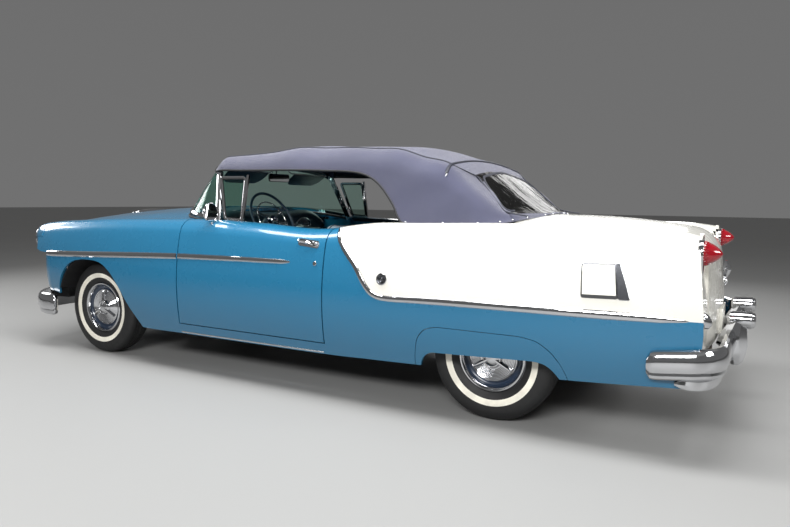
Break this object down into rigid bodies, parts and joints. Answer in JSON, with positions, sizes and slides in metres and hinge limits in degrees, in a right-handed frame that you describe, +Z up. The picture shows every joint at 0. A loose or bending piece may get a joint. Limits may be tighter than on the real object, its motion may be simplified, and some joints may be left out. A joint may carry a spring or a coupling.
{
  "type": "two-door convertible car",
  "caption": "Full-size 1950s two-door convertible with a raised fabric top, two-tone body, wraparound windshield, skirted rear wheels, opening doors, hood and trunk, and steered wheels.",
  "frame": {"origin": "on the floor under the middle of the car's length and width", "axes": "+X towards the front bumper, +Y towards the car's left side, +Z up"},
  "size_m": [5.212, 2.006, 1.5509],
  "materials": {
    "blue_paint": "glossy turquoise-blue paint",
    "white_paint": "glossy cream-white paint",
    "chrome": "polished plating",
    "black_paint": "satin black paint",
    "fabric": "woven blue-grey cloth",
    "clear_vinyl": "clear flexible sheet",
    "glass": "green tinted glass",
    "lens": "fluted clear lens",
    "red_lens": "ribbed red lens",
    "seat_trim": "silver-blue vinyl with dark inserts",
    "dark_trim": "dark blue trim",
    "tyre": "black rubber with a cream side band",
    "wheel": "chrome cover with dark grooves",
    "steel": "dark bare steel"
  },
  "bodies": {
    "car": {"chassis_frame": "black_paint", "floor_pan": "black_paint", "cowl": "blue_paint", "front_fender_left": "blue_paint", "front_fender_right": "blue_paint", "quarter_panel_left": "white_paint", "quarter_panel_right": "white_paint", "sills": "blue_paint", "fender_skirts": "blue_paint", "deck_panel": "white_paint", "tail_panel": "white_paint", "nose_panel": "blue_paint", "grille": "chrome", "front_bumper": "chrome", "rear_bumper": "chrome", "headlamps": "lens", "tail_lamps": "red_lens", "windshield_frame": "chrome", "windshield_glass": "glass", "fabric_top": "fabric", "top_frame": "black_paint", "rear_window": "clear_vinyl", "dashboard": "dark_trim", "front_seat": "seat_trim", "rear_seat": "seat_trim", "front_suspension": "steel", "rear_axle": "steel", "drive_shaft": "steel", "exhaust": "steel", "fuel_tank": "steel", "engine": "steel", "wheel_houses": "black_paint"},
    "door_left": {"door_left": "blue_paint", "vent_window_left": "chrome", "door_mirror": "chrome"},
    "door_right": {"door_right": "blue_paint", "vent_window_right": "chrome"},
    "hood": {"hood": "blue_paint"},
    "trunk_lid": {"trunk_lid": "white_paint"},
    "steering_wheel": {"steering_wheel": "dark_trim"},
    "knuckle_left": {"knuckle_left": "steel"},
    "knuckle_right": {"knuckle_right": "steel"},
    "wheel_front_left": {"tyre_front_left": "tyre", "wheel_front_left": "wheel"},
    "wheel_front_right": {"tyre_front_right": "tyre", "wheel_front_right": "wheel"},
    "wheel_rear_left": {"tyre_rear_left": "tyre", "wheel_rear_left": "wheel"},
    "wheel_rear_right": {"tyre_rear_right": "tyre", "wheel_rear_right": "wheel"}
  },
  "joints": [
    {"name": "door_left_hinge", "type": "hinge", "parent": "car", "child": "door_left", "pos_m": [0.84, 0.924, 0.6], "axis": [0, 0, -1], "range_deg": [0, 65]},
    {"name": "door_right_hinge", "type": "hinge", "parent": "car", "child": "door_right", "pos_m": [0.84, -0.924, 0.6], "axis": [0, 0, 1], "range_deg": [0, 65]},
    {"name": "hood_hinge", "type": "hinge", "parent": "car", "child": "hood", "pos_m": [1.139, 0, 1.11], "axis": [0, -1, 0], "range_deg": [0, 50]},
    {"name": "trunk_lid_hinge", "type": "hinge", "parent": "car", "child": "trunk_lid", "pos_m": [-1.604, 0, 1.101], "axis": [0, 1, 0], "range_deg": [0, 50]},
    {"name": "steer_left", "type": "hinge", "parent": "car", "child": "knuckle_left", "pos_m": [1.727, 0.64, 0.345], "axis": [0, 0, 1], "range_deg": [-30, 30]},
    {"name": "steer_right", "type": "hinge", "parent": "car", "child": "knuckle_right", "pos_m": [1.727, -0.64, 0.345], "axis": [0, 0, 1], "range_deg": [-30, 30]},
    {"name": "steering_wheel_turn", "type": "hinge", "parent": "car", "child": "steering_wheel", "pos_m": [0.5, 0.395, 1.028], "axis": [-0.891, 0, 0.454], "range_deg": [-720, 720]},
    {"name": "wheel_front_left_spin", "type": "hinge", "parent": "knuckle_left", "child": "wheel_front_left", "pos_m": [1.727, 0.7495, 0.345], "axis": [0, 1, 0], "continuous": true},
    {"name": "wheel_front_right_spin", "type": "hinge", "parent": "knuckle_right", "child": "wheel_front_right", "pos_m": [1.727, -0.7495, 0.345], "axis": [0, 1, 0], "continuous": true},
    {"name": "wheel_rear_left_spin", "type": "hinge", "parent": "car", "child": "wheel_rear_left", "pos_m": [-1.372, 0.7365, 0.345], "axis": [0, 1, 0], "continuous": true},
    {"name": "wheel_rear_right_spin", "type": "hinge", "parent": "car", "child": "wheel_rear_right", "pos_m": [-1.372, -0.7365, 0.345], "axis": [0, 1, 0], "continuous": true}
  ],
  "couplings": [
    {"joint": "steer_right", "follows": "steer_left", "ratio": 1},
    {"joint": "steering_wheel_turn", "follows": "steer_left", "ratio": 24}
  ]
}
